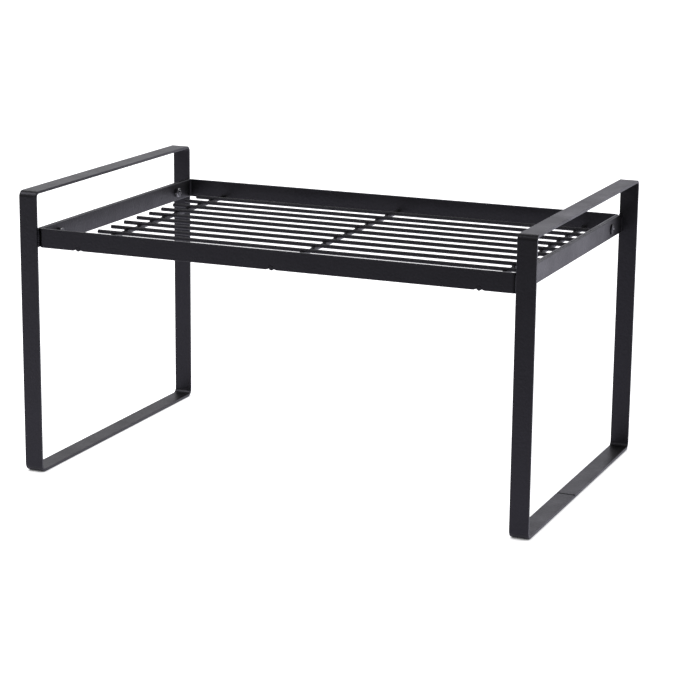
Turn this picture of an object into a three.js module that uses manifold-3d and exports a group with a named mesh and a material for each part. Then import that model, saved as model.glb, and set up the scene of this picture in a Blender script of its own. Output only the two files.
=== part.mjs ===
// Kitchen storage shelf: a wire-grid tray held between two end frames of bent flat strip.
// Lengths are in millimetres. X runs along the shelf, -Y is its front and +Z is up.
// The origin is on the ground, under the middle of the tray.
import * as THREE from 'three';
import { mergeVertices } from 'three/addons/utils/BufferGeometryUtils.js';
import Module from 'manifold-3d';

const wasm = await Module();
wasm.setup();

// Overall size.
const LENGTH = 335;
const DEPTH = 210;
const HEIGHT = 180;

// Flat strip of the end frames, their crossbars and the tray rim.
const STRIP_WIDTH = 12;
const STRIP_THICKNESS = 1.8;
const TOP_BEND_RADIUS = 3.2; // end frames, outside of the two upper bends
const FOOT_BEND_RADIUS = 5; // end frames, outside of the two lower bends
const RIM_BEND_RADIUS = 4;

// Crossbars: strip on edge between the legs, level with the tray rim and flush with the legs' inner edges.
// Tray rim: a closed band of strip on edge, between the two crossbars.
const CLEAR_HEIGHT = 145; // ground to the underside of the rim and the crossbars
const RIM_SIDE_CLEARANCE = 0.2; // the rim's long walls, behind the inner faces of the legs

// Cross rods: front to back, their ends seated in slots of the rim's lower edge.
const ROD_NAMES = ['left', 'centre', 'right'];
const ROD_DIAMETER = 2.8;
const ROD_INSET = 23.4; // outer rods to the inner faces of the rim's end walls, on average
const ROD_DROP = 0.2; // underside of the rods below the rim's lower edge
const GRID_SHIFT = 2.4; // the grid sits this far to the right of the rim's middle
const ROD_END_SETBACK = 0.3; // from the rim's outer face
const SLOT_CLEARANCE = 0.3;
const SLOT_FLARE = 1.5; // widening at the mouth, on each side
const SLOT_FLARE_HEIGHT = 0.6;

// Long wires: welded on top of the rods.
const WIRE_COUNT = 10;
const WIRE_DIAMETER = 2.5;
const WIRE_INSET = 23.1; // outer wires to the inner faces of the rim's long walls, on average
const WIRE_SHIFT = 3.6; // the wires sit this far behind the rim's middle
const WIRE_OVERHANG = 11.1; // past the outer rods
const WELD_SINK = 0.15; // how far a wire sets down into a rod
const SEAT_CLEARANCE = 0.3;

// Screws that clamp the tray to the crossbars.
const SCREW_INSET = 24.5; // screw axis to the outer face of the nearest leg
const SCREW_DIAMETER = 3;
const SCREW_HEAD_DIAMETER = 7;
const SCREW_HEAD_HEIGHT = 2;
const SCREW_HEAD_EDGE = 0.6; // straight side below the dome
const SCREW_TIP_LENGTH = 0.8; // past the nut
const SCREW_TIP_CHAMFER = 0.4;
const RECESS_LENGTH = 3.6;
const RECESS_WIDTH = 0.9;
const RECESS_DEPTH = 1.1;
const HOLE_CLEARANCE = 0.3; // around the shank, on the radius
const NUT_ACROSS_FLATS = 5.5;
const NUT_THICKNESS = 2.4;
const NUT_CLEARANCE = 0.15; // around the shank, on the radius

// Fineness of round forms, and the extra length of a cutting tool past the face it opens.
const BEND_SEGMENTS = 8;
const DOME_SEGMENTS = 5;
const WIRE_SIDES = 16;
const ROD_SIDES = 20;
const SCREW_SIDES = 24;
const CUT_MARGIN = 2;

// Places that follow from the sizes above.
const legInnerEdge = LENGTH / 2 - STRIP_WIDTH;
const legInnerFace = DEPTH / 2 - STRIP_THICKNESS;
const rimHalfLength = legInnerEdge;
const rimHalfDepth = legInnerFace - RIM_SIDE_CLEARANCE;
const rodRadius = ROD_DIAMETER / 2;
const rodAxisZ = rodRadius - ROD_DROP; // above the rim's lower edge
const outerRodX = rimHalfLength - STRIP_THICKNESS - ROD_INSET;
const wireRadius = WIRE_DIAMETER / 2;
const wireAboveRod = rodRadius + wireRadius - WELD_SINK;
const outerWireY = rimHalfDepth - STRIP_THICKNESS - WIRE_INSET;
const screwY = DEPTH / 2 - SCREW_INSET;
const screwZ = STRIP_WIDTH / 2; // above the rim's lower edge
const holeRadius = SCREW_DIAMETER / 2 + HOLE_CLEARANCE;
const clampThickness = 2 * STRIP_THICKNESS; // crossbar and rim together

const SIDES = [{ name: 'left', sign: -1 }, { name: 'right', sign: 1 }];
const ENDS = [{ name: 'front', sign: -1 }, { name: 'rear', sign: 1 }];

const coating = new THREE.MeshStandardMaterial({ color: 0x1d1d20, roughness: 0.55, metalness: 0.1 });
const fastener = new THREE.MeshStandardMaterial({ color: 0x2e2e32, roughness: 0.35, metalness: 0.8 });

// Even places from -limit to +limit.
function spread(count, limit) {
  return Array.from({ length: count }, (_, index) => limit * ((2 * index) / (count - 1) - 1));
}

const rodPlaces = spread(ROD_NAMES.length, outerRodX).map((x) => x + GRID_SHIFT);
const wirePlaces = spread(WIRE_COUNT, outerWireY).map((y) => y + WIRE_SHIFT);

function piece(name, geometry, material) {
  const mesh = new THREE.Mesh(geometry, material);
  mesh.name = name;
  return mesh;
}

// Turns a three.js geometry into a solid that can be cut. Faces that close up on an axis are dropped.
function toSolid(geometry) {
  const bare = geometry.clone();
  bare.deleteAttribute('normal');
  bare.deleteAttribute('uv');
  const merged = mergeVertices(bare);
  const corners = Array.from(merged.index.array);
  const triangles = [];
  for (let i = 0; i < corners.length; i += 3) {
    const triangle = corners.slice(i, i + 3);
    if (new Set(triangle).size === 3) triangles.push(...triangle);
  }
  return new wasm.Manifold(new wasm.Mesh({
    numProp: 3,
    vertProperties: merged.attributes.position.array,
    triVerts: new Uint32Array(triangles),
  }));
}

function toGeometry(solid) {
  const mesh = solid.getMesh();
  const geometry = new THREE.BufferGeometry();
  geometry.setAttribute('position', new THREE.BufferAttribute(mesh.vertProperties, 3));
  geometry.setIndex(new THREE.BufferAttribute(mesh.triVerts, 1));
  geometry.computeVertexNormals();
  return geometry;
}

// Takes each tool's shape out of a geometry.
function cut(geometry, tools) {
  const solid = tools.reduce((rest, tool) => rest.subtract(toSolid(tool)), toSolid(geometry));
  return toGeometry(solid);
}

function extrude(shape, depth) {
  return new THREE.ExtrudeGeometry(shape, { depth, bevelEnabled: false, curveSegments: BEND_SEGMENTS });
}

// Stands a drawing up in the Y-Z plane, with its depth along +X.
function standAcrossX(geometry) {
  return geometry.rotateX(Math.PI / 2).rotateZ(Math.PI / 2);
}

function barAlongX(radius, length, sides) {
  return new THREE.CylinderGeometry(radius, radius, length, sides).rotateZ(-Math.PI / 2);
}

function barAlongY(radius, length, sides) {
  return new THREE.CylinderGeometry(radius, radius, length, sides);
}

// Draws a rectangle with round corners, centred on the drawing's origin.
function traceRoundedRectangle(path, halfWidth, halfHeight, upperRadius, lowerRadius) {
  const upperX = halfWidth - upperRadius;
  const upperY = halfHeight - upperRadius;
  const lowerX = halfWidth - lowerRadius;
  const lowerY = halfHeight - lowerRadius;
  path.absarc(upperX, upperY, upperRadius, 0, Math.PI / 2);
  path.absarc(-upperX, upperY, upperRadius, Math.PI / 2, Math.PI);
  path.absarc(-lowerX, -lowerY, lowerRadius, Math.PI, 1.5 * Math.PI);
  path.absarc(lowerX, -lowerY, lowerRadius, 1.5 * Math.PI, 2 * Math.PI);
  path.closePath();
  return path;
}

// A closed band of strip: its outline in the drawing plane, the strip's width as depth.
function stripBand(halfWidth, halfHeight, upperRadius, lowerRadius) {
  const inset = STRIP_THICKNESS;
  const shape = traceRoundedRectangle(new THREE.Shape(), halfWidth, halfHeight, upperRadius, lowerRadius);
  const inside = traceRoundedRectangle(
    new THREE.Path(),
    halfWidth - inset,
    halfHeight - inset,
    upperRadius - inset,
    lowerRadius - inset,
  );
  shape.holes.push(inside);
  return extrude(shape, STRIP_WIDTH);
}

// The slot that seats a rod, around the rod's axis: round above, straight down, flared at the mouth.
function rodSlot() {
  const radius = rodRadius + SLOT_CLEARANCE;
  const mouth = radius + SLOT_FLARE;
  const floor = -rodAxisZ;
  const shape = new THREE.Shape();
  shape.absarc(0, 0, radius, 0, Math.PI);
  shape.lineTo(-radius, floor + SLOT_FLARE_HEIGHT);
  shape.lineTo(-mouth, floor);
  shape.lineTo(-mouth, floor - CUT_MARGIN);
  shape.lineTo(mouth, floor - CUT_MARGIN);
  shape.lineTo(mouth, floor);
  shape.lineTo(radius, floor + SLOT_FLARE_HEIGHT);
  shape.closePath();
  const length = 2 * (rimHalfDepth + CUT_MARGIN);
  return extrude(shape, length).translate(0, 0, -length / 2).rotateX(Math.PI / 2);
}

// A drill for each row of screws, through everything along X. Its height is from the rim's lower edge.
function screwDrills() {
  return ENDS.map((end) => (
    barAlongX(holeRadius, LENGTH, SCREW_SIDES).translate(0, end.sign * screwY, screwZ)
  ));
}

// The rim stands on z = 0, with a slot around each rod end and a screw hole at each corner.
function rimGeometry() {
  const slots = rodPlaces.map((x) => rodSlot().translate(x, 0, rodAxisZ));
  const band = stripBand(rimHalfLength, rimHalfDepth, RIM_BEND_RADIUS, RIM_BEND_RADIUS);
  return cut(band, [...slots, ...screwDrills()]);
}

// A crossbar stands on z = 0, with its two screw holes.
function crossbarGeometry() {
  const bar = new THREE.BoxGeometry(STRIP_THICKNESS, 2 * legInnerFace, STRIP_WIDTH);
  return cut(bar.translate(0, 0, STRIP_WIDTH / 2), screwDrills());
}

// A rod about its own axis, with a shallow seat under each long wire.
function rodGeometry() {
  const seatLength = ROD_DIAMETER + CUT_MARGIN;
  const seats = wirePlaces.map((y) => barAlongX(wireRadius + SEAT_CLEARANCE, seatLength, WIRE_SIDES)
    .translate(0, y, wireAboveRod));
  return cut(barAlongY(rodRadius, 2 * (rimHalfDepth - ROD_END_SETBACK), ROD_SIDES), seats);
}

function wireGeometry() {
  return barAlongX(wireRadius, 2 * (outerRodX + WIRE_OVERHANG), WIRE_SIDES);
}

// A screw along X with its head on the outside of the crossbar and a crossed recess in the dome.
function screwGeometry() {
  const shankRadius = SCREW_DIAMETER / 2;
  const headRadius = SCREW_HEAD_DIAMETER / 2;
  const tip = -(clampThickness + NUT_THICKNESS + SCREW_TIP_LENGTH);
  const domeHeight = SCREW_HEAD_HEIGHT - SCREW_HEAD_EDGE;
  const profile = [
    new THREE.Vector2(0, tip),
    new THREE.Vector2(shankRadius - SCREW_TIP_CHAMFER, tip),
    new THREE.Vector2(shankRadius, tip + SCREW_TIP_CHAMFER),
    new THREE.Vector2(shankRadius, 0),
    new THREE.Vector2(headRadius, 0),
  ];
  for (let i = 0; i < DOME_SEGMENTS; i += 1) {
    const angle = (i / DOME_SEGMENTS) * (Math.PI / 2);
    const height = SCREW_HEAD_EDGE + domeHeight * Math.sin(angle);
    profile.push(new THREE.Vector2(headRadius * Math.cos(angle), height));
  }
  profile.push(new THREE.Vector2(0, SCREW_HEAD_HEIGHT));
  const body = new THREE.LatheGeometry(profile, SCREW_SIDES).rotateZ(-Math.PI / 2);
  const recessHeight = RECESS_DEPTH + CUT_MARGIN;
  const recessX = SCREW_HEAD_HEIGHT - RECESS_DEPTH + recessHeight / 2;
  const recesses = [0, Math.PI / 2].map((turn) => (
    new THREE.BoxGeometry(recessHeight, RECESS_LENGTH, RECESS_WIDTH).rotateX(turn).translate(recessX, 0, 0)
  ));
  return cut(body, recesses);
}

// A six-sided nut against the inside of the rim's end wall.
function nutGeometry() {
  const cornerRadius = NUT_ACROSS_FLATS / 2 / Math.cos(Math.PI / 6);
  const corners = Array.from({ length: 6 }, (_, index) => {
    const angle = (index * Math.PI) / 3;
    return new THREE.Vector2(cornerRadius * Math.cos(angle), cornerRadius * Math.sin(angle));
  });
  const shape = new THREE.Shape(corners);
  const boreRadius = SCREW_DIAMETER / 2 + NUT_CLEARANCE;
  shape.holes.push(new THREE.Path().absarc(0, 0, boreRadius, 0, 2 * Math.PI));
  const inner = -(clampThickness + NUT_THICKNESS);
  return standAcrossX(extrude(shape, NUT_THICKNESS)).translate(inner, 0, 0);
}

// The two loops of strip, each with its crossbar.
function endFrames() {
  const group = new THREE.Group();
  const band = stripBand(DEPTH / 2, HEIGHT / 2, TOP_BEND_RADIUS, FOOT_BEND_RADIUS);
  const loop = standAcrossX(band).translate(-STRIP_WIDTH / 2, 0, 0);
  const bar = crossbarGeometry();
  for (const side of SIDES) {
    const frame = piece(`${side.name}_end_frame`, loop, coating);
    frame.position.set(side.sign * (LENGTH - STRIP_WIDTH) / 2, 0, HEIGHT / 2);
    const crossbar = piece(`${side.name}_crossbar`, bar, coating);
    crossbar.position.set(side.sign * (legInnerEdge + STRIP_THICKNESS / 2), 0, CLEAR_HEIGHT);
    group.add(frame, crossbar);
  }
  return group;
}

function tray() {
  const group = new THREE.Group();
  group.position.z = CLEAR_HEIGHT;
  group.add(piece('tray_rim', rimGeometry(), coating));
  const rod = rodGeometry();
  ROD_NAMES.forEach((name, index) => {
    const mesh = piece(`${name}_cross_rod`, rod, coating);
    mesh.position.set(rodPlaces[index], 0, rodAxisZ);
    group.add(mesh);
  });
  const wire = wireGeometry();
  wirePlaces.forEach((y, index) => {
    const mesh = piece(`long_wire_${String(index + 1).padStart(2, '0')}`, wire, coating);
    mesh.position.set(GRID_SHIFT, y, rodAxisZ + wireAboveRod);
    group.add(mesh);
  });
  return group;
}

// The screw and nut of one corner, about the screw's axis and the crossbar's outer face.
function cornerFixing(side, end) {
  const group = new THREE.Group();
  const outerFace = legInnerEdge + STRIP_THICKNESS;
  group.position.set(side.sign * outerFace, end.sign * screwY, CLEAR_HEIGHT + screwZ);
  group.rotation.z = side.sign > 0 ? 0 : Math.PI;
  const corner = `${side.name}_${end.name}`;
  group.add(piece(`${corner}_screw`, screwGeometry(), fastener));
  group.add(piece(`${corner}_nut`, nutGeometry(), fastener));
  return group;
}

const shelf = new THREE.Group();
shelf.name = 'kitchen_storage_shelf';
shelf.add(endFrames(), tray());
for (const side of SIDES) {
  for (const end of ENDS) {
    shelf.add(cornerFixing(side, end));
  }
}

export default shelf;
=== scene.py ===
import math

import bmesh
import bpy
from mathutils import Matrix, Vector, noise


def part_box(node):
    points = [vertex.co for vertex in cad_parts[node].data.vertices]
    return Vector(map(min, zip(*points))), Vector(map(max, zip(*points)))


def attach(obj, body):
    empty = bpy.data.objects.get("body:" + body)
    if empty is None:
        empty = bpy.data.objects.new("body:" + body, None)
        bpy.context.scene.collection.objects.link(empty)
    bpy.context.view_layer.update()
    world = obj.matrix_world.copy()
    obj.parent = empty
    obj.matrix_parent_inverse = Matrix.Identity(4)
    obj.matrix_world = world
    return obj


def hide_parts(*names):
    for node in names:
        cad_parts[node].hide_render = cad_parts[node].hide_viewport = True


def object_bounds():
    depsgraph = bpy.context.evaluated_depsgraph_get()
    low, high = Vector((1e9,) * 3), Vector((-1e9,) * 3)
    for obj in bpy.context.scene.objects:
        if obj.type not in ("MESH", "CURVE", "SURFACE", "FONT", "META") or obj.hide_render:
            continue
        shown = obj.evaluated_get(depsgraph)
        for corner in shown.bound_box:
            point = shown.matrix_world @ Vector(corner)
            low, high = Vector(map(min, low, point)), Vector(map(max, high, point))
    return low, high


# Kitchen storage shelf in black powder coat. Lengths are in metres, X along the shelf, -Y to its front.
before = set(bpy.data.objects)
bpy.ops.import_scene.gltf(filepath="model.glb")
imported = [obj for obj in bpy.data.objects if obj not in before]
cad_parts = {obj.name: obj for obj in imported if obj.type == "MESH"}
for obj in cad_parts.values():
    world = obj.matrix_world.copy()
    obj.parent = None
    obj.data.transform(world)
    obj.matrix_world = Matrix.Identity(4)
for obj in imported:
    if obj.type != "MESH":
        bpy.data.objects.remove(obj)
cad_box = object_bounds()

BODY = "root"
SIDES = {"left": -1, "right": 1}
ENDS = {"front": -1, "rear": 1}
RODS = ("left", "centre", "right")
# On plated parts the layer also marks painted glints: the nuts' flats and the screws' recess walls.
WEAR_AND_GLINT_LAYER = "edge"  # 1 where an edge is rubbed, 0 on plain faces
SMOOTH_ANGLE = math.radians(40)
NUT_SMOOTH_ANGLE = math.radians(20)

# Strip of the end frames, crossbars and rim. Rolled strip has soft edges, and the left-hand frame's upper
# bends are a little rounder than the right-hand one's.
STRIP_THICKNESS = 0.0018
TOP_BEND_RADIUS = {"left": 0.0040, "right": 0.0035}
FOOT_BEND_RADIUS = 0.005
RIM_BEND_RADIUS = 0.003
EDGE_RADIUS = 0.00035
CROSSBAR_EDGE_RADIUS = 0.0007
EDGE_STEPS = 4
BEND_STEPS = 14
CROSSBAR_STATIONS = 24

# Butt weld that closes the right-hand frame, on its foot run. Offsets, stray and flank are shares of its
# half width, the least, left and right depths are shares of its depth, and the fades are shares of the
# strip's width, from its left edge.
SEAM_SIDE = "right"
SEAM_Y = -0.014
SEAM_HALF_WIDTH = 0.0013
SEAM_DEPTH = 0.0012
SEAM_STEPS = 24
SEAM_OFFSETS = (-1.0, -0.7, -0.4, -0.15, 0.15, 0.4, 0.7, 1.0)
SEAM_STRAY = 0.3
SEAM_STRAY_SCALE = 5.0
SEAM_STRAY_SEED = 2.5
SEAM_LEAST_DEPTH = 0.35
SEAM_LEFT_DEPTH = 0.9
SEAM_LEFT_FADE = (0.06, 0.2)
SEAM_RIGHT_DEPTH = 0.65
SEAM_RIGHT_FADE = (0.5, 0.66)
SEAM_FLANK = 0.7

# Rod seats in the rim's lower edge. The arc is a little narrower than the seat, so that its ends and the
# seat's sides are different places along the rim.
SLOT_CLEARANCE = 0.0003
SLOT_FLARE = 0.0015
SLOT_FLARE_HEIGHT = 0.0006
SLOT_STEPS = 10
SLOT_ARC_SHARE = 0.998

# Wires and rods.
BAR_SIDES = 24
BAR_STATIONS = 48
BAR_END_ROUND = 0.00035
BAR_END_SHARE = 0.3  # of the rounding, at the ring between the cut and the full radius
WIRE_STRAY = 0.00018
WIRE_STRAY_SCALE = 14.0
WIRE_SEED_STEP = 3.7

# Welds under the coating: nuggets at the crossings, fills at the rods' ends, beads at the crossbars. A fill's
# profile lists heights over its face and shares of its radius, from its root to its crown.
NUGGET_HALF_SIZES = (0.0013, 0.0026, 0.0008)
NUGGET_SUBDIVISIONS = 3
NUGGET_LUMP = 0.18
NUGGET_LUMP_SCALE = 1.6
NUGGET_WIRE_SEED = 11.0
NUGGET_ROD_SEED = 100
FILL_SINK = 0.00012
FILL_SIDES = 28
FILL_CLEARANCE_SHARE = 0.9
FILL_PROFILE = ((-0.0012, 1.0), (-0.00018, 1.0), (-0.00006, 0.93), (0.0, 0.7), (0.00002, 0.3))
OUTER_BEAD_RADIUS = 0.0004
INNER_BEAD_RADIUS = 0.00105
BEAD_MARGIN = 0.02
BEAD_TAPER_POWER = 0.3
BEAD_RIPPLE_LENGTH = 0.0013
BEAD_RIPPLE = 0.08
BEAD_LUMP = 0.15
BEAD_LUMP_SCALE = 9
BEAD_END_SEED = 5.0
BEAD_PLACE_SEED = 40
BEAD_STEPS = 54
BEAD_SIDES = 16

# Screws: a low, flat head with a crossed recess, and a threaded end. Recess shares are of its own sizes.
SCREW_DIAMETER = 0.003
SCREW_SIDES = 96
SCREW_HEAD_RINGS = 34
SCREW_HEAD_HEIGHT = 0.0012
SCREW_HEAD_EDGE = 0.0004
SCREW_HEAD_FLATNESS = 5
SCREW_TIP = 0.0008
SCREW_CHAMFER = 0.0003
SCREW_CHAMFER_SLOPE = 0.6
THREAD_PITCH = 0.0005
THREAD_DEPTH = 0.00028
THREAD_STEPS_PER_TURN = 10
RECESS_HALF_LENGTH = 0.0019
RECESS_HALF_WIDTH = 0.00048
RECESS_DEPTH = 0.0009
RECESS_WALL = (0.8, 1.15)
RECESS_FLOOR_SHARE = 0.25
RECESS_SLOPE_POWER = 0.6
# Depth shares between which the recess walls are rubbed bright: wear and a painted highlight.
RECESS_WEAR_AND_HIGHLIGHT_SHARES = (0.04, 0.8)

# Nuts.
NUT_SIDES = 72
NUT_CHAMFER_SHARE = 0.96
NUT_CHAMFER_ANGLE = math.radians(30)
NUT_BORE_CLEARANCE = 0.00005
NUT_MOUTH = 0.0003

# Powder coat. Noise settings are scale, detail and roughness.
COAT_DARK = (0.0060, 0.0058, 0.0058)
COAT_LIGHT = (0.0095, 0.0092, 0.0094)
COAT_RUBBED = (0.030, 0.030, 0.033)
COAT_SHEEN = (0.88, 0.86, 1.0, 1.0)
COAT_GLOSS = 0.29
COAT_TONE_STOPS = (0.35, 0.70)
COAT_ROUGHNESS = (0.28, 0.58)
COAT_RUB_RANGE = (0.0, 0.9)
# Lighter, glossier coat for the centre and right-hand rods: painted light on them.
PAINTED_LIGHT_ROD_DARK = (0.013, 0.013, 0.013)
PAINTED_LIGHT_ROD_LIGHT = (0.024, 0.023, 0.024)
PAINTED_LIGHT_ROD_GLOSS = 0.38
WIRE_EXTRA_ROUGHNESS = 0.12
STRIP_GRAIN_SCALE = 3200.0
BAR_GRAIN_SCALE = 3800.0
WELD_GRAIN_SCALE = 2600.0
COAT_CLOUD = (38.0, 4.0, 0.6)
COAT_PEEL = (700.0, 2.0, 0.5)
COAT_RUB = (900.0, 3.0, 0.5)
GRAIN_DETAIL = 2.0
GRAIN_ROUGHNESS = 0.7
PEEL_DEPTH = 0.00012
PEEL_STRENGTH = 1.0
GRAIN_DEPTH = 0.00002
GRAIN_STRENGTH = 0.5
# Painted shade in the coat's crevices: its gloss falls to a share of its own near other surfaces.
PAINTED_SHADE_REACH = 0.0012
PAINTED_SHADE_GLOSS_SHARE = 0.75
OCCLUSION_SAMPLES = 4

# Plated fasteners.
SCREW_DARK = (0.012, 0.012, 0.013)
SCREW_LIGHT = (0.035, 0.035, 0.038)
SCREW_GRAZING = 0.95
NUT_DARK = (0.11, 0.11, 0.113)
NUT_LIGHT = (0.20, 0.20, 0.206)
NUT_GRAZING = 0.4
# Brighter rubbed plating: wear, and painted glints on the nuts' flats and the screws' recess walls.
PLATE_WEAR_AND_GLINT = (0.42, 0.42, 0.43)
PLATE_TONE_STOPS = (0.30, 0.75)
PLATE_ROUGHNESS = (0.24, 0.42)
PLATE_WEAR_AND_GLINT_RANGE = (0.1, 0.9)
PLATE_CLOUD = (300.0, 4.0, 0.6)
PLATE_SCRATCH = (4200.0, 2.0, 0.8)
SCRATCH_DEPTH = 0.00001
SCRATCH_STRENGTH = 0.4

# Sockets of a colour Mix node, which has one set for each kind of data.
MIX_FIRST = 6
MIX_SECOND = 7
MIX_RESULT = 2

# White floor. The glow that the coating mirrors fades towards the front right: none at FADE_START along
# FADE_DIRECTION, full at FADE_END.
FLOOR_COLOUR = (0.80, 0.80, 0.80, 1.0)
FLOOR_SEEN_GLOW = (0.95, 0.95, 0.95, 1.0)
FLOOR_MIRRORED_GLOW = (0.90, 0.88, 1.05, 1.0)
FLOOR_HALF_SIZE = 5.0
FLOOR_DROP = 0.0002
# Reaches of the contact shadows painted into the floor's glow, where it is seen and where it is mirrored.
SEEN_PAINTED_SHADOW_REACH = 0.005
MIRRORED_PAINTED_SHADOW_REACH = 0.020
FADE_DIRECTION = (-0.4, 1.0, 0.0)
FADE_START = -0.545
FADE_END = -0.365

# World. Each ramp gives the two ends of a change in brightness along one axis of the direction.
WORLD_COLOUR = (0.93, 0.92, 1.0, 1.0)
WORLD_SEEN_COLOUR = (1.0, 1.0, 1.0, 1.0)
FRONT_LEVEL = 0.25
BACK_LEVEL = 1.45
LEFT_SHARE = 0.33
SKY_SHARE = 0.30
DEPTH_RAMP = (-0.6, 0.4)
RIGHTWARD_RAMP = (-0.50, -0.22)
UPWARD_RAMP = (0.25, 0.60)

# Lamps: place, the point it faces, diameter and watts.
LAMPS = {
    "front_left_softbox": ((-0.69, -0.55, 1.14), (-0.16, -0.1, 0.18), 0.55, 9.0),
    "back_left_softbox": ((-1.2, 1.7, 1.5), (0.2, 0.4, 0.0), 1.4, 8.0),
    "back_right_softbox": ((1.3, 1.8, 1.4), (0.4, 0.7, 0.0), 1.2, 16.0),
}

# Camera, fitted to the edges of the frames and the rim in the photograph.
CAMERA_PLACE = (0.5477, -1.2879, 0.4187)
CAMERA_AIM = (0.01074, 0.0, 0.07415)
CAMERA_ROLL = math.radians(0.609)
CAMERA_LENS = 115.7
SENSOR_WIDTH = 36.0


def node_span(node):
    """Low corner, high corner and middle of a CAD node's box."""
    low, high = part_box(node)
    return low, high, (low + high) / 2


def smooth_step(low, high, value):
    share = min(max((value - low) / (high - low), 0.0), 1.0)
    return share * share * (3 - 2 * share)


def circle_angles(sides):
    return [2 * math.pi * j / sides for j in range(sides)]


def new_bmesh():
    bm = bmesh.new()
    bm.verts.layers.float.new(WEAR_AND_GLINT_LAYER)
    return bm


def add_vert(bm, place, edge=0.0):
    vert = bm.verts.new(place)
    vert[bm.verts.layers.float[WEAR_AND_GLINT_LAYER]] = edge
    return vert


def bridge(bm, ring, following):
    """Faces between two rings of as many verts."""
    size = len(ring)
    for j in range(size):
        k = (j + 1) % size
        bm.faces.new((ring[j], ring[k], following[k], following[j]))


def sweep_rings(bm, rings):
    """Joins rings one after another, and the last to the first."""
    for ring, following in zip(rings, rings[1:] + rings[:1]):
        bridge(bm, ring, following)


def skin_rings(bm, rings):
    """Joins rings one after another and caps both ends."""
    for ring, following in zip(rings, rings[1:]):
        bridge(bm, ring, following)
    bm.faces.new(rings[0])
    bm.faces.new(rings[-1])


def make_piece(name, bm, material, nodes=(), smooth_angle=SMOOTH_ANGLE):
    """Turns a bmesh into a piece of the shelf that rides on its body and stands for CAD nodes."""
    bmesh.ops.recalc_face_normals(bm, faces=bm.faces)
    mesh = bpy.data.meshes.new(name)
    bm.to_mesh(mesh)
    bm.free()
    mesh.shade_smooth()
    mesh.set_sharp_from_angle(angle=smooth_angle)
    mesh.materials.append(material)
    piece = bpy.data.objects.new(name, mesh)
    bpy.context.scene.collection.objects.link(piece)
    weighted = piece.modifiers.new("weighted_normal", "WEIGHTED_NORMAL")
    weighted.keep_sharp = True
    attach(piece, BODY)
    if nodes:
        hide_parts(*nodes)
    return piece


def section_points(low, high, edge_radius=EDGE_RADIUS, inner_steps=1):
    """Outline of the strip: offset through the thickness, place along the width, and edge amount.

    edge_radius rounds its edges, and its inner face is cut into inner_steps parts.
    """
    half = STRIP_THICKNESS / 2
    outer = half - edge_radius
    top = high - edge_radius
    bottom = low + edge_radius
    inner_width = high - low - 2 * edge_radius
    corners = ((outer, top, 0), (-outer, top, 90), (-outer, bottom, 180), (outer, bottom, 270))
    points = []
    for across, along, start in corners:
        for step in range(EDGE_STEPS + 1):
            angle = math.radians(start + 90 * step / EDGE_STEPS)
            edge = math.sin(math.pi * step / EDGE_STEPS)
            x = across + edge_radius * math.cos(angle)
            y = along + edge_radius * math.sin(angle)
            points.append((x, y, edge))
        if start == 90:
            points += [(-half, top - inner_width * i / inner_steps, 0.0) for i in range(1, inner_steps)]
    return points


def band_path(half_u, half_v, upper_bend, lower_bend, marks):
    """Stations round a rounded rectangle at mid thickness: place, outward normal, run name.

    The bends at +v and at -v have their own outside radii. marks gives extra places along a run, as the
    coordinate that changes on it.
    """
    upper = upper_bend - STRIP_THICKNESS / 2
    lower = lower_bend - STRIP_THICKNESS / 2
    u = half_u - STRIP_THICKNESS / 2
    v = half_v - STRIP_THICKNESS / 2
    runs = (
        ("plus_u", (u - upper, v - upper), upper, 0),
        ("plus_v", (upper - u, v - upper), upper, 90),
        ("minus_u", (lower - u, lower - v), lower, 180),
        ("minus_v", (u - lower, lower - v), lower, 270),
    )
    stations = []
    for name, centre, radius, start in runs:
        normal = Vector((math.cos(math.radians(start)), math.sin(math.radians(start))))
        for mark in marks.get(name, ()):
            place = Vector((u * normal.x, mark)) if name.endswith("_u") else Vector((mark, v * normal.y))
            stations.append((place, normal, name))
        for step in range(BEND_STEPS + 1):
            angle = math.radians(start + 90 * step / BEND_STEPS)
            turned = Vector((math.cos(angle), math.sin(angle)))
            stations.append((Vector(centre) + radius * turned, turned, "bend"))
    return stations


def seam_inset(y, share):
    """How far the strip's skin is drawn in at the butt weld, at a share of the strip's width.

    The groove strays a little. It is deepest at the strip's left edge and deep over its right-hand third.
    """
    stray = SEAM_STRAY * noise.noise(Vector((SEAM_STRAY_SCALE * share, SEAM_STRAY_SEED, 0.0)))
    distance = abs((y - SEAM_Y) / SEAM_HALF_WIDTH - stray)
    left = SEAM_LEFT_DEPTH - SEAM_LEFT_DEPTH * smooth_step(*SEAM_LEFT_FADE, share)
    right = SEAM_RIGHT_DEPTH * smooth_step(*SEAM_RIGHT_FADE, share)
    depth = SEAM_LEAST_DEPTH + max(left, right)
    return SEAM_DEPTH * depth * (1 - smooth_step(0.0, SEAM_FLANK, distance))


def end_frame(side, material):
    """A closed loop of flat strip in the Y-Z plane. The right-hand one shows its butt weld."""
    node = f"{side}_end_frame"
    low, high, middle = node_span(node)
    half_depth = (high.y - low.y) / 2
    half_height = (high.z - low.z) / 2
    width = high.x - low.x
    marks = {}
    if side == SEAM_SIDE:
        marks["minus_v"] = [SEAM_Y + SEAM_HALF_WIDTH * offset for offset in SEAM_OFFSETS]
    section = section_points(-width / 2, width / 2, inner_steps=SEAM_STEPS)
    path = band_path(half_depth, half_height, TOP_BEND_RADIUS[side], FOOT_BEND_RADIUS, marks)
    bm = new_bmesh()
    rings = []
    for place, normal, run in path:
        ring = []
        for across, along, edge in section:
            if across < 0 and run in marks:
                across += seam_inset(place.x, along / width + 0.5)
            point = place + normal * across
            ring.append(add_vert(bm, (middle.x + along, middle.y + point.x, middle.z + point.y), edge))
        rings.append(ring)
    sweep_rings(bm, rings)
    return make_piece(f"{side}_end_frame_coated", bm, material, [node])


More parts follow.
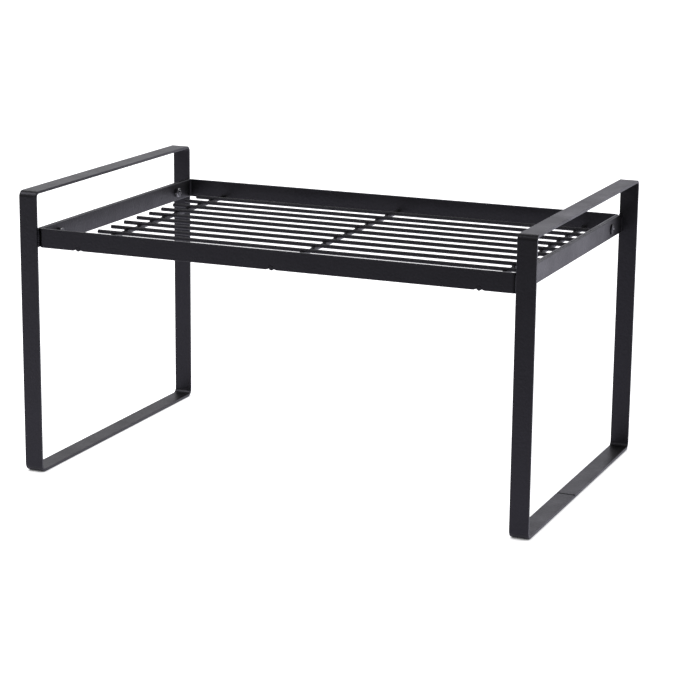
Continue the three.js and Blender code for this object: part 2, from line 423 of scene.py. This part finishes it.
def crossbar(side, material):
    """Strip on edge between the two legs of an end frame."""
    node = f"{side}_crossbar"
    low, high, middle = node_span(node)
    section = section_points(low.z, high.z, CROSSBAR_EDGE_RADIUS)
    bm = new_bmesh()
    rings = []
    for i in range(CROSSBAR_STATIONS + 1):
        y = low.y + (high.y - low.y) * i / CROSSBAR_STATIONS
        rings.append([add_vert(bm, (middle.x + across, y, along), edge) for across, along, edge in section])
    skin_rings(bm, rings)
    return make_piece(f"{side}_crossbar_coated", bm, material, [node])


def add_bead(bm, foot, direction, length, radius, seed):
    """A rippled bead of weld that starts at foot and runs along direction."""
    side = direction.orthogonal().normalized()
    up = direction.cross(side)
    rings = []
    for i in range(BEAD_STEPS + 1):
        share = i / BEAD_STEPS
        taper = math.sin(math.pi * min(max(share, BEAD_MARGIN), 1 - BEAD_MARGIN)) ** BEAD_TAPER_POWER
        ripple = 1 + BEAD_RIPPLE * math.sin(2 * math.pi * share * length / BEAD_RIPPLE_LENGTH)
        lump = 1 + BEAD_LUMP * noise.noise(Vector((seed, share * BEAD_LUMP_SCALE, 0)))
        r = radius * taper * ripple * lump
        centre = foot + direction * length * (BEAD_MARGIN + (1 - 2 * BEAD_MARGIN) * share)
        ring = []
        for angle in circle_angles(BEAD_SIDES):
            ring.append(add_vert(bm, centre + r * (math.cos(angle) * side + math.sin(angle) * up)))
        rings.append(ring)
    skin_rings(bm, rings)


def crossbar_welds(side, material):
    """Upright beads in the corners between a crossbar and its legs, fuller on the tray's side."""
    low, high, _ = node_span(f"{side}_crossbar")
    outer, inner = (high.x, low.x) if SIDES[side] > 0 else (low.x, high.x)
    bm = new_bmesh()
    for sign in ENDS.values():
        for x, radius in ((outer, OUTER_BEAD_RADIUS), (inner, INNER_BEAD_RADIUS)):
            foot = Vector((x, high.y if sign > 0 else low.y, low.z))
            seed = BEAD_END_SEED * sign + BEAD_PLACE_SEED * x
            add_bead(bm, foot, Vector((0, 0, 1)), high.z - low.z, radius, seed)
    return make_piece(f"{side}_crossbar_welds", bm, material)


def slot_profile(rod_x, rod_z, rod_radius, floor_z):
    """Places along the rim and the height of its lower edge there, over one rod seat."""
    radius = rod_radius + SLOT_CLEARANCE
    profile = [(-radius - SLOT_FLARE, floor_z), (-radius, floor_z + SLOT_FLARE_HEIGHT)]
    for step in range(SLOT_STEPS + 1):
        angle = math.pi * (1 - step / SLOT_STEPS)
        profile.append((SLOT_ARC_SHARE * radius * math.cos(angle), rod_z + radius * math.sin(angle)))
    profile += [(radius, floor_z + SLOT_FLARE_HEIGHT), (radius + SLOT_FLARE, floor_z)]
    return [(rod_x + x, z) for x, z in profile]


def nearest(x, places):
    """The listed place that a path's place stands for: vectors hold fewer digits."""
    return min(places, key=lambda place: abs(place - x))


def tray_rim(material):
    """The rim: strip on edge, its lower edge raised over each rod seat."""
    low, high, middle = node_span("tray_rim")
    edge_heights = {}
    for rod in RODS:
        rod_low, rod_high, rod_middle = node_span(f"{rod}_cross_rod")
        radius = (rod_high.x - rod_low.x) / 2
        edge_heights.update(slot_profile(rod_middle.x, rod_middle.z, radius, low.z))
    places = sorted(edge_heights)
    marks = {"minus_v": places, "plus_v": places[::-1]}
    half_length = (high.x - low.x) / 2
    half_depth = (high.y - low.y) / 2
    bm = new_bmesh()
    rings = []
    for place, normal, run in band_path(half_length, half_depth, RIM_BEND_RADIUS, RIM_BEND_RADIUS, marks):
        bottom = edge_heights[nearest(place.x, places)] if run in marks else low.z
        ring = []
        for across, along, edge in section_points(bottom, high.z):
            point = place + normal * across
            ring.append(add_vert(bm, (middle.x + point.x, middle.y + point.y, along), edge))
        rings.append(ring)
    sweep_rings(bm, rings)
    return make_piece("tray_rim_coated", bm, material, ["tray_rim"])


def bar_profile(length, radius):
    """Places along a round bar and its radius there, with softened cut ends."""
    round_step = BAR_END_ROUND * BAR_END_SHARE
    cut_end = [(0.0, radius - BAR_END_ROUND), (round_step, radius - round_step)]
    straight = length - 2 * BAR_END_ROUND
    middle = [(BAR_END_ROUND + straight * i / BAR_STATIONS, radius) for i in range(BAR_STATIONS + 1)]
    return cut_end + middle + [(length - along, r) for along, r in cut_end[::-1]]


def add_bar(bm, start, end, radius, stray=0.0, seed=0.0):
    """A round bar with rubbed ends that strays a little from straight."""
    axis = (end - start).normalized()
    side = axis.cross(Vector((0, 0, 1))).normalized()
    up = side.cross(axis)
    rings = []
    for along, r in bar_profile((end - start).length, radius):
        drift = stray * noise.noise(Vector((seed, along * WIRE_STRAY_SCALE, 0.0)))
        centre = start + axis * along + side * drift
        worn = 1.0 if r < radius else 0.0
        ring = []
        for angle in circle_angles(BAR_SIDES):
            ring.append(add_vert(bm, centre + r * (math.cos(angle) * side + math.sin(angle) * up), worn))
        rings.append(ring)
    skin_rings(bm, rings)


def long_wire(index, material):
    node = f"long_wire_{index:02d}"
    low, high, middle = node_span(node)
    start = Vector((low.x, middle.y, middle.z))
    end = Vector((high.x, middle.y, middle.z))
    bm = new_bmesh()
    add_bar(bm, start, end, (high.z - low.z) / 2, WIRE_STRAY, WIRE_SEED_STEP * index)
    return make_piece(f"{node}_coated", bm, material, [node])


def cross_rod(name, material):
    node = f"{name}_cross_rod"
    low, high, middle = node_span(node)
    radius = (high.x - low.x) / 2
    start = Vector((middle.x, low.y, low.z + radius))
    end = Vector((middle.x, high.y, low.z + radius))
    bm = new_bmesh()
    add_bar(bm, start, end, radius)
    return make_piece(f"{node}_coated", bm, material, [node])


def add_nugget(bm, centre, seed):
    """A flattened, uneven lump of weld where a wire has set down into a rod."""
    made = bmesh.ops.create_icosphere(bm, subdivisions=NUGGET_SUBDIVISIONS, radius=1.0)
    for vert in made["verts"]:
        lump = 1.0 + NUGGET_LUMP * noise.noise(vert.co * NUGGET_LUMP_SCALE + Vector((seed, 0, 0)))
        vert.co = centre + vert.co * (Vector(NUGGET_HALF_SIZES) * lump)


def crossing_welds(name, wire_count, material):
    """The row of weld nuggets along one rod, under its wires."""
    rod_low, rod_high, rod_middle = node_span(f"{name}_cross_rod")
    rod_top = rod_low.z + rod_high.x - rod_low.x
    bm = new_bmesh()
    for index in range(1, wire_count + 1):
        wire_low, _, wire_middle = node_span(f"long_wire_{index:02d}")
        centre = Vector((rod_middle.x, wire_middle.y, (rod_top + wire_low.z) / 2))
        add_nugget(bm, centre, NUGGET_WIRE_SEED * index + rod_middle.x * NUGGET_ROD_SEED)
    return make_piece(f"{name}_crossing_welds", bm, material)


def add_end_fill(bm, place, outward, radius):
    """The weld that closes a rod's seat at one face of the rim, slightly domed."""
    rings = []
    for depth, share in FILL_PROFILE:
        r = radius * share
        ring = []
        for angle in circle_angles(FILL_SIDES):
            offset = Vector((r * math.cos(angle), outward * depth, r * math.sin(angle)))
            ring.append(add_vert(bm, place + offset))
        rings.append(ring)
    skin_rings(bm, rings)


def rod_end_welds(name, material):
    """Fills at both faces of the rim, at both ends of one rod."""
    rod_low, rod_high, rod_middle = node_span(f"{name}_cross_rod")
    rim_low, rim_high, _ = node_span("tray_rim")
    radius = (rod_high.x - rod_low.x) / 2
    height = rod_low.z + radius + SLOT_CLEARANCE / 2
    bm = new_bmesh()
    for sign in ENDS.values():
        outer = rim_high.y if sign > 0 else rim_low.y
        inner = outer - sign * STRIP_THICKNESS
        for face, outward in ((outer, sign), (inner, -sign)):
            centre = Vector((rod_middle.x, face - outward * FILL_SINK, height))
            add_end_fill(bm, centre, outward, radius + SLOT_CLEARANCE * FILL_CLEARANCE_SHARE)
    return make_piece(f"{name}_rod_end_welds", bm, material)


def corner_matrix(side, end):
    """From a fastener's own frame, +X out of the crossbar's outer face, to its corner of the tray."""
    bar_low, bar_high, _ = node_span(f"{side}_crossbar")
    _, _, screw_middle = node_span(f"{side}_{end}_screw")
    wall = bar_high.x if SIDES[side] > 0 else bar_low.x
    turn = Matrix.Rotation(0.0 if SIDES[side] > 0 else math.pi, 4, "Z")
    return Matrix.Translation((wall, screw_middle.y, screw_middle.z)) @ turn


def recess_share(y, z):
    """Depth of the crossed recess at a point of the screw's head, as a share of its full depth."""
    narrow, wide = (RECESS_HALF_WIDTH * share for share in RECESS_WALL)
    deepest = 0.0
    for along, across in ((abs(y), abs(z)), (abs(z), abs(y))):
        wall = 1 - smooth_step(narrow, wide, across)
        reach = 1 - smooth_step(RECESS_HALF_LENGTH * RECESS_FLOOR_SHARE, RECESS_HALF_LENGTH, along)
        deepest = max(deepest, wall * reach ** RECESS_SLOPE_POWER)
    return deepest


def recess_wear_and_highlight(y, z):
    """1 on the walls of the recess and in line with them, where the plating is rubbed bright: wear and a
    painted highlight.
    """
    least, most = RECESS_WEAR_AND_HIGHLIGHT_SHARES
    return 1.0 if least < recess_share(y, z) < most else 0.0


def head_surface(y, z, head_radius):
    """Height of the screw's head over the crossbar, less its recess."""
    fall = (math.hypot(y, z) / head_radius) ** SCREW_HEAD_FLATNESS
    dome = math.sqrt(max(1 - fall, 0.0))
    return SCREW_HEAD_EDGE + (SCREW_HEAD_HEIGHT - SCREW_HEAD_EDGE) * dome - RECESS_DEPTH * recess_share(y, z)


def thread_radius(depth, angle, length):
    """Radius of the threaded end, with a chamfer at its tip."""
    radius = SCREW_DIAMETER / 2
    phase = (depth / THREAD_PITCH - angle / (2 * math.pi)) % 1.0
    thread = radius - THREAD_DEPTH * abs(2 * phase - 1)
    chamfer = radius - SCREW_CHAMFER_SLOPE * max(depth - (length - SCREW_CHAMFER), 0.0)
    return min(thread, chamfer)


def screw_ring(bm, matrix, x_at, radius_at):
    """Verts round a screw's axis: the radius for each angle, and X for each point of the ring."""
    ring = []
    for angle in circle_angles(SCREW_SIDES):
        radius = radius_at(angle)
        y = radius * math.cos(angle)
        z = radius * math.sin(angle)
        ring.append(add_vert(bm, matrix @ Vector((x_at(y, z), y, z)), recess_wear_and_highlight(y, z)))
    return ring


def screw(side, end, material):
    """A low head on the crossbar's outer face, a plain shank and a threaded end."""
    node = f"{side}_{end}_screw"
    low, high, _ = node_span(node)
    bar_low, bar_high, _ = node_span(f"{side}_crossbar")
    head_radius = (high.y - low.y) / 2
    length = bar_high.x - low.x if SIDES[side] > 0 else high.x - bar_low.x
    matrix = corner_matrix(side, end)
    bm = new_bmesh()
    rings = []
    for i in range(1, SCREW_HEAD_RINGS + 1):
        radius = head_radius * math.sin(0.5 * math.pi * i / SCREW_HEAD_RINGS)
        rings.append(screw_ring(
            bm, matrix, lambda y, z: head_surface(y, z, head_radius), lambda angle: radius
        ))
    for radius in (head_radius, SCREW_DIAMETER / 2):
        rings.append(screw_ring(bm, matrix, lambda y, z: 0.0, lambda angle: radius))
    thread_length = SCREW_TIP + THREAD_PITCH
    thread_steps = int(thread_length / THREAD_PITCH * THREAD_STEPS_PER_TURN)
    for i in range(thread_steps + 1):
        depth = length - thread_length + thread_length * i / thread_steps
        rings.append(screw_ring(
            bm, matrix, lambda y, z: -depth, lambda angle: thread_radius(depth, angle, length)
        ))
    skin_rings(bm, rings)
    return make_piece(f"{node}_plated", bm, material, [node])


def nut(side, end, material):
    """A chamfered hexagon nut on the inside of the rim's end wall, with a plain bore."""
    node = f"{side}_{end}_nut"
    low, high, _ = node_span(node)
    thickness = high.x - low.x
    half_flats = (high.z - low.z) / 2
    chamfer_start = half_flats * NUT_CHAMFER_SHARE
    bore = SCREW_DIAMETER / 2 + NUT_BORE_CLEARANCE
    matrix = corner_matrix(side, end) @ Matrix.Translation((-2 * STRIP_THICKNESS - thickness, 0, 0))
    bm = new_bmesh()

    def vert_at(x, radius, angle, edge=0.0):
        return add_vert(bm, matrix @ Vector((x, radius * math.cos(angle), radius * math.sin(angle))), edge)

    def round_ring(x, radius):
        return [vert_at(x, radius, angle) for angle in circle_angles(NUT_SIDES)]

    def hexagon_ring(x_at):
        ring = []
        for angle in circle_angles(NUT_SIDES):
            radius = half_flats / math.cos(angle % (math.pi / 3) - math.pi / 6)
            chamfer = max(radius - chamfer_start, 0.0) * math.tan(NUT_CHAMFER_ANGLE)
            # The flats take the plate's bright rubbed pattern, which is a painted glint.
            ring.append(vert_at(x_at(chamfer), radius, angle, 1.0))
        return ring

    rings = [
        round_ring(thickness, bore),
        round_ring(NUT_MOUTH, bore),
        round_ring(0.0, bore + NUT_MOUTH),
        round_ring(0.0, chamfer_start),
        hexagon_ring(lambda chamfer: chamfer),
        hexagon_ring(lambda chamfer: thickness - chamfer),
        round_ring(thickness, chamfer_start),
    ]
    sweep_rings(bm, rings)
    return make_piece(f"{node}_plated", bm, material, [node], NUT_SMOOTH_ANGLE)


def combine(tree, operation, first, second):
    """One maths node on two sockets."""
    node = tree.nodes.new("ShaderNodeMath")
    node.operation = operation
    tree.links.new(first, node.inputs[0])
    tree.links.new(second, node.inputs[1])
    return node.outputs["Value"]


def smooth_ramp(tree, value, ends, to_low=0.0, to_high=1.0):
    """A smooth change from to_low to to_high as a socket's value goes from one end to the other."""
    node = tree.nodes.new("ShaderNodeMapRange")
    node.interpolation_type = "SMOOTHSTEP"
    node.inputs["From Min"].default_value = ends[0]
    node.inputs["From Max"].default_value = ends[1]
    node.inputs["To Min"].default_value = to_low
    node.inputs["To Max"].default_value = to_high
    tree.links.new(value, node.inputs["Value"])
    return node.outputs["Result"]


def openness(tree, reach):
    """1 on open surfaces, falling towards 0 where another surface is closer than reach."""
    node = tree.nodes.new("ShaderNodeAmbientOcclusion")
    node.samples = OCCLUSION_SAMPLES
    node.inputs["Distance"].default_value = reach
    return node.outputs["AO"]


def glow(tree, colour, strength):
    node = tree.nodes.new("ShaderNodeEmission")
    node.inputs["Color"].default_value = colour
    tree.links.new(strength, node.inputs["Strength"])
    return node.outputs["Emission"]


class Shader:
    """Short-hand for building one node material."""

    def __init__(self, name):
        self.material = bpy.data.materials.new(name)
        self.material.use_nodes = True
        self.tree = self.material.node_tree
        self.bsdf = self.tree.nodes["Principled BSDF"]
        self.coords = self.tree.nodes.new("ShaderNodeTexCoord").outputs["Object"]

    def link(self, output, socket):
        self.tree.links.new(output, socket)

    def noise(self, scale, detail, roughness):
        node = self.tree.nodes.new("ShaderNodeTexNoise")
        node.inputs["Scale"].default_value = scale
        node.inputs["Detail"].default_value = detail
        node.inputs["Roughness"].default_value = roughness
        self.link(self.coords, node.inputs["Vector"])
        return node.outputs["Fac"]

    def ramp(self, factor, places, colours):
        node = self.tree.nodes.new("ShaderNodeValToRGB")
        for element, place, colour in zip(node.color_ramp.elements, places, colours):
            element.position = place
            element.color = (*colour, 1.0)
        self.link(factor, node.inputs["Fac"])
        return node.outputs["Color"]

    def to_range(self, factor, low, high):
        node = self.tree.nodes.new("ShaderNodeMapRange")
        node.inputs["To Min"].default_value = low
        node.inputs["To Max"].default_value = high
        self.link(factor, node.inputs["Value"])
        return node.outputs["Result"]

    def mix(self, factor, first, second):
        """From the colour of a socket to a plain colour."""
        node = self.tree.nodes.new("ShaderNodeMix")
        node.data_type = "RGBA"
        self.link(factor, node.inputs["Factor"])
        self.link(first, node.inputs[MIX_FIRST])
        node.inputs[MIX_SECOND].default_value = (*second, 1.0)
        return node.outputs[MIX_RESULT]

    def bump(self, height, depth, strength, normal=None):
        node = self.tree.nodes.new("ShaderNodeBump")
        node.inputs["Distance"].default_value = depth
        node.inputs["Strength"].default_value = strength
        self.link(height, node.inputs["Height"])
        if normal is not None:
            self.link(normal, node.inputs["Normal"])
        return node.outputs["Normal"]

    def rubbed(self, pattern, low, high):
        """The layer's marks, rubbed edges and painted glints, broken up by a pattern between low and high."""
        edges = self.tree.nodes.new("ShaderNodeAttribute")
        edges.attribute_name = WEAR_AND_GLINT_LAYER
        return combine(self.tree, "MULTIPLY", edges.outputs["Fac"], self.to_range(pattern, low, high))


def powder_coat(name, grain_scale, dark=COAT_DARK, light=COAT_LIGHT, gloss=COAT_GLOSS, rougher=0.0):
    """Fine-grained satin black: slight peel, cloudy tone, rubbed edges, and painted shade in crevices."""
    shader = Shader(name)
    inputs = shader.bsdf.inputs
    cloud = shader.noise(*COAT_CLOUD)
    peel = shader.noise(*COAT_PEEL)
    grain = shader.noise(grain_scale, GRAIN_DETAIL, GRAIN_ROUGHNESS)
    tone = shader.ramp(cloud, COAT_TONE_STOPS, (dark, light))
    rub = shader.rubbed(shader.noise(*COAT_RUB), *COAT_RUB_RANGE)
    shader.link(shader.mix(rub, tone, COAT_RUBBED), inputs["Base Color"])
    smoothest, roughest = COAT_ROUGHNESS
    shader.link(shader.to_range(cloud, smoothest + rougher, roughest + rougher), inputs["Roughness"])
    # Painted shade: the gloss is turned down where another surface is close.
    unshaded_share = openness(shader.tree, PAINTED_SHADE_REACH)
    shader.link(shader.to_range(unshaded_share, PAINTED_SHADE_GLOSS_SHARE * gloss, gloss), inputs["Specular IOR Level"])
    inputs["Specular Tint"].default_value = COAT_SHEEN
    peeled = shader.bump(peel, PEEL_DEPTH, PEEL_STRENGTH)
    shader.link(shader.bump(grain, GRAIN_DEPTH, GRAIN_STRENGTH, peeled), inputs["Normal"])
    return shader.material


def zinc_plate(name, dark, light, grazing):
    """Plated steel with fine scratches and brighter rubbed edges: wear and painted glints. grazing is its
    sheen at a low angle.
    """
    shader = Shader(name)
    inputs = shader.bsdf.inputs
    cloud = shader.noise(*PLATE_CLOUD)
    scratch = shader.noise(*PLATE_SCRATCH)
    tone = shader.ramp(cloud, PLATE_TONE_STOPS, (dark, light))
    # Wear and painted glints, where the layer marks the mesh.
    rub = shader.rubbed(scratch, *PLATE_WEAR_AND_GLINT_RANGE)
    shader.link(shader.mix(rub, tone, PLATE_WEAR_AND_GLINT), inputs["Base Color"])
    inputs["Metallic"].default_value = 1.0
    inputs["Specular Tint"].default_value = (grazing, grazing, grazing, 1.0)
    shader.link(shader.to_range(scratch, *PLATE_ROUGHNESS), inputs["Roughness"])
    shader.link(shader.bump(scratch, SCRATCH_DEPTH, SCRATCH_STRENGTH), inputs["Normal"])
    return shader.material


def build_shelf():
    strip_coat = powder_coat("strip_powder_coat", STRIP_GRAIN_SCALE)
    wire_coat = powder_coat("wire_powder_coat", BAR_GRAIN_SCALE, rougher=WIRE_EXTRA_ROUGHNESS)
    weld_coat = powder_coat("weld_powder_coat", WELD_GRAIN_SCALE)
    painted_light_rod_coat = powder_coat("rod_powder_coat_painted_light", BAR_GRAIN_SCALE, PAINTED_LIGHT_ROD_DARK, PAINTED_LIGHT_ROD_LIGHT, PAINTED_LIGHT_ROD_GLOSS)
    screw_plate = zinc_plate("black_zinc_plate", SCREW_DARK, SCREW_LIGHT, SCREW_GRAZING)
    nut_plate = zinc_plate("grey_zinc_plate", NUT_DARK, NUT_LIGHT, NUT_GRAZING)
    wire_count = sum(name.startswith("long_wire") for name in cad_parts)
    for side in SIDES:
        end_frame(side, strip_coat)
        crossbar(side, strip_coat)
        crossbar_welds(side, weld_coat)
    tray_rim(strip_coat)
    # The centre and right-hand rods and their crossing welds take the lighter coat, which is painted light;
    # the left-hand rod keeps the wires' coat.
    for name, coat in zip(RODS, (wire_coat, painted_light_rod_coat, painted_light_rod_coat)):
        cross_rod(name, coat)
        crossing_welds(name, wire_count, coat)
        rod_end_welds(name, strip_coat)
    for index in range(1, wire_count + 1):
        long_wire(index, wire_coat)
    for side in SIDES:
        for end in ENDS:
            screw(side, end, screw_plate)
            nut(side, end, nut_plate)


def floor_material():
    """White paper that glows white where it is seen and where the coating mirrors it, with contact shadows
    painted into the glow.
    """
    material = bpy.data.materials.new("white_floor")
    material.use_nodes = True
    tree = material.node_tree
    tree.nodes.clear()
    output = tree.nodes.new("ShaderNodeOutputMaterial")
    paper = tree.nodes.new("ShaderNodeBsdfDiffuse")
    paper.inputs["Color"].default_value = FLOOR_COLOUR
    path = tree.nodes.new("ShaderNodeLightPath").outputs
    seen = combine(tree, "MULTIPLY", path["Is Camera Ray"], openness(tree, SEEN_PAINTED_SHADOW_REACH))
    mirrored = combine(tree, "MAXIMUM", path["Is Glossy Ray"], path["Is Transmission Ray"])
    mirrored = combine(tree, "MULTIPLY", mirrored, openness(tree, MIRRORED_PAINTED_SHADOW_REACH))
    place = tree.nodes.new("ShaderNodeVectorMath")
    place.operation = "DOT_PRODUCT"
    place.inputs[1].default_value = FADE_DIRECTION
    tree.links.new(tree.nodes.new("ShaderNodeTexCoord").outputs["Object"], place.inputs[0])
    fade = smooth_ramp(tree, place.outputs["Value"], (FADE_START, FADE_END))
    mirrored = combine(tree, "MULTIPLY", mirrored, fade)
    total = paper.outputs["BSDF"]
    for colour, strength in ((FLOOR_SEEN_GLOW, seen), (FLOOR_MIRRORED_GLOW, mirrored)):
        both = tree.nodes.new("ShaderNodeAddShader")
        tree.links.new(total, both.inputs[0])
        tree.links.new(glow(tree, colour, strength), both.inputs[1])
        total = both.outputs["Shader"]
    tree.links.new(total, output.inputs["Surface"])
    return material


def floor():
    bm = bmesh.new()
    bmesh.ops.create_grid(bm, x_segments=1, y_segments=1, size=FLOOR_HALF_SIZE)
    bmesh.ops.translate(bm, verts=bm.verts, vec=(0, 0, cad_box[0].z - FLOOR_DROP))
    mesh = bpy.data.meshes.new("studio_floor")
    bm.to_mesh(mesh)
    bm.free()
    mesh.materials.append(floor_material())
    obj = bpy.data.objects.new("studio_floor", mesh)
    bpy.context.scene.collection.objects.link(obj)


def world_light():
    """A soft room: pale behind, dimmer in front, at the left and overhead, and white to the camera."""
    world = bpy.data.worlds.new("studio")
    bpy.context.scene.world = world
    world.use_nodes = True
    tree = world.node_tree
    background = tree.nodes["Background"]
    background.inputs["Color"].default_value = WORLD_COLOUR
    direction = tree.nodes.new("ShaderNodeTexCoord").outputs["Generated"]
    parts = tree.nodes.new("ShaderNodeSeparateXYZ")
    tree.links.new(direction, parts.inputs["Vector"])
    depth = smooth_ramp(tree, parts.outputs["Y"], DEPTH_RAMP, FRONT_LEVEL, BACK_LEVEL)
    rightward = smooth_ramp(tree, parts.outputs["X"], RIGHTWARD_RAMP, LEFT_SHARE, 1.0)
    upward = smooth_ramp(tree, parts.outputs["Z"], UPWARD_RAMP, 1.0, SKY_SHARE)
    level = combine(tree, "MULTIPLY", depth, combine(tree, "MULTIPLY", rightward, upward))
    tree.links.new(level, background.inputs["Strength"])
    seen = tree.nodes.new("ShaderNodeBackground")
    seen.inputs["Color"].default_value = WORLD_SEEN_COLOUR
    chosen = tree.nodes.new("ShaderNodeMixShader")
    tree.links.new(tree.nodes.new("ShaderNodeLightPath").outputs["Is Camera Ray"], chosen.inputs["Fac"])
    tree.links.new(background.outputs["Background"], chosen.inputs[1])
    tree.links.new(seen.outputs["Background"], chosen.inputs[2])
    tree.links.new(chosen.outputs["Shader"], tree.nodes["World Output"].inputs["Surface"])


def lights():
    for name, (place, aim, size, watts) in LAMPS.items():
        data = bpy.data.lights.new(name, "AREA")
        data.shape = "DISK"
        data.size = size
        data.energy = watts
        obj = bpy.data.objects.new(name, data)
        obj.location = place
        obj.rotation_euler = (Vector(aim) - Vector(place)).to_track_quat("-Z", "Y").to_euler()
        bpy.context.scene.collection.objects.link(obj)


def camera():
    data = bpy.data.cameras.new("photo_camera")
    data.sensor_width = SENSOR_WIDTH
    data.lens = CAMERA_LENS
    obj = bpy.data.objects.new("photo_camera", data)
    place = Vector(CAMERA_PLACE)
    turn = (Vector(CAMERA_AIM) - place).to_track_quat("-Z", "Y").to_matrix().to_4x4()
    obj.matrix_world = Matrix.Translation(place) @ turn @ Matrix.Rotation(CAMERA_ROLL, 4, "Z")
    bpy.context.scene.collection.objects.link(obj)
    bpy.context.scene.camera = obj


camera()
build_shelf()
floor()
world_light()
lights()
bpy.context.scene.view_settings.view_transform = "Standard"
